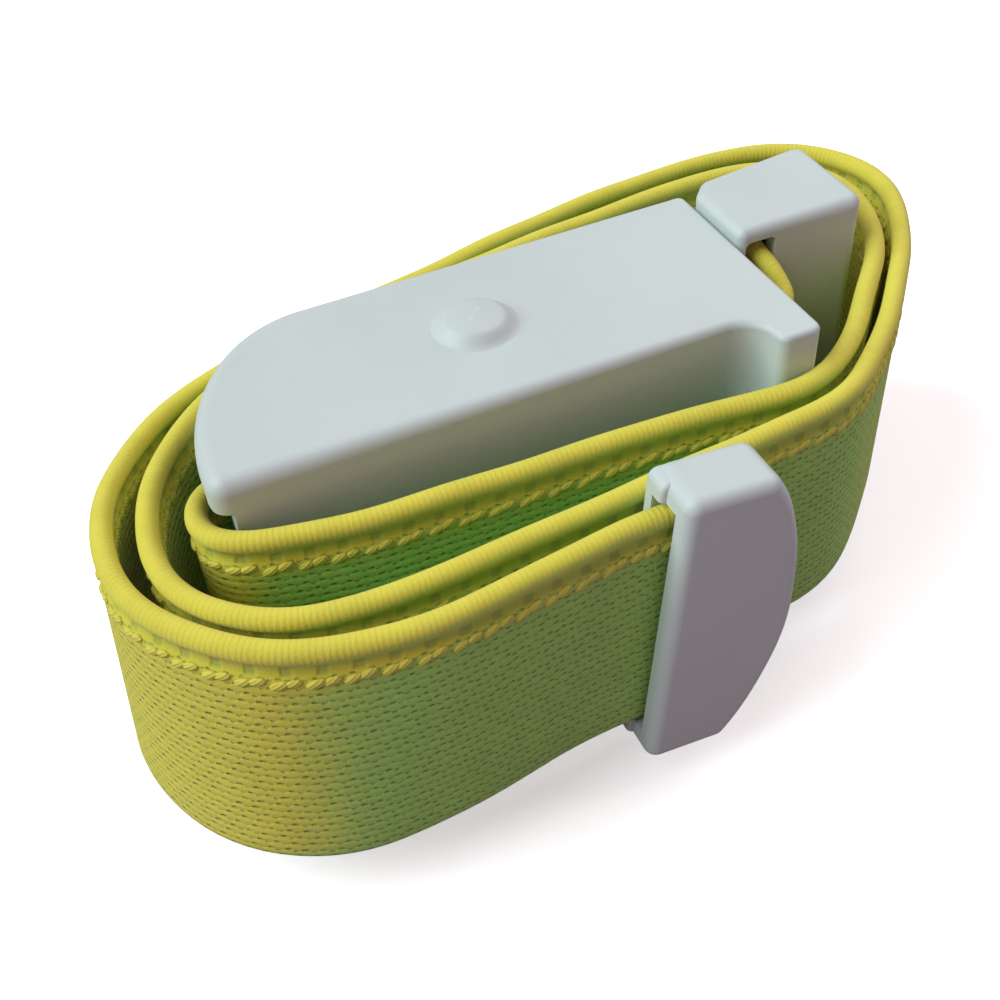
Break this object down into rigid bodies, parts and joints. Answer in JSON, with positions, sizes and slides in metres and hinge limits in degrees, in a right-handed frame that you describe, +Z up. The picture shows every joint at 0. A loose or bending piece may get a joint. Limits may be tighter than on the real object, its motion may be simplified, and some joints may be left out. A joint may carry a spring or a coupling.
{
  "type": "quick-release tourniquet",
  "caption": "Elastic webbing tourniquet wound round its closed quick-release plastic buckle, with a press lever, a pull-out plug and a moulded tab on the free end.",
  "frame": {"origin": "middle of the object's plan box, on the surface that it lies on", "axes": "+X along the buckle from the nose to the plug, +Y towards the press lever, +Z up across the width of the webbing"},
  "size_m": [0.0898, 0.0508, 0.0374],
  "materials": {
    "housing_plastic": "satin moulded plastic, cool white",
    "lever_plastic": "satin moulded plastic, cool white",
    "plug_plastic": "satin moulded plastic, cool white",
    "tab_plastic": "satin moulded plastic, cool white",
    "webbing": "yellow-green elastic webbing with rolled selvedges",
    "pin_steel": "ground steel",
    "grip_steel": "stamped steel",
    "spring_steel": "bright spring steel"
  },
  "bodies": {
    "buckle": {"housing": "housing_plastic", "pivot_pin": "pin_steel", "bed_plate": "grip_steel", "washer_top": "pin_steel", "washer_bottom": "pin_steel", "torsion_spring_top": "spring_steel", "torsion_spring_bottom": "spring_steel", "strap_webbing": "webbing", "tab_front": "tab_plastic", "tab_back": "tab_plastic", "tab_rivet_top": "pin_steel", "tab_rivet_bottom": "pin_steel"},
    "press_lever": {"lever": "lever_plastic", "jaw_plate": "grip_steel", "catch": "spring_steel"},
    "plug_half": {"plug": "plug_plastic", "anchor_bar": "pin_steel", "strap_anchor": "webbing"}
  },
  "joints": [
    {"name": "lever_press", "type": "hinge", "parent": "buckle", "child": "press_lever", "pos_m": [-0.00612, 0.00188, 0.0187], "axis": [0, 0, 1], "range_deg": [0, 6], "stiffness_Nm_per_rad": 0.1, "springref_deg": -22.92, "deforming": ["torsion_spring_top", "torsion_spring_bottom"]},
    {"name": "plug_release", "type": "slide", "parent": "buckle", "child": "plug_half", "axis": [1, 0, 0], "range_m": [0, 0.014], "deforming": ["strap_webbing", "catch"]}
  ]
}
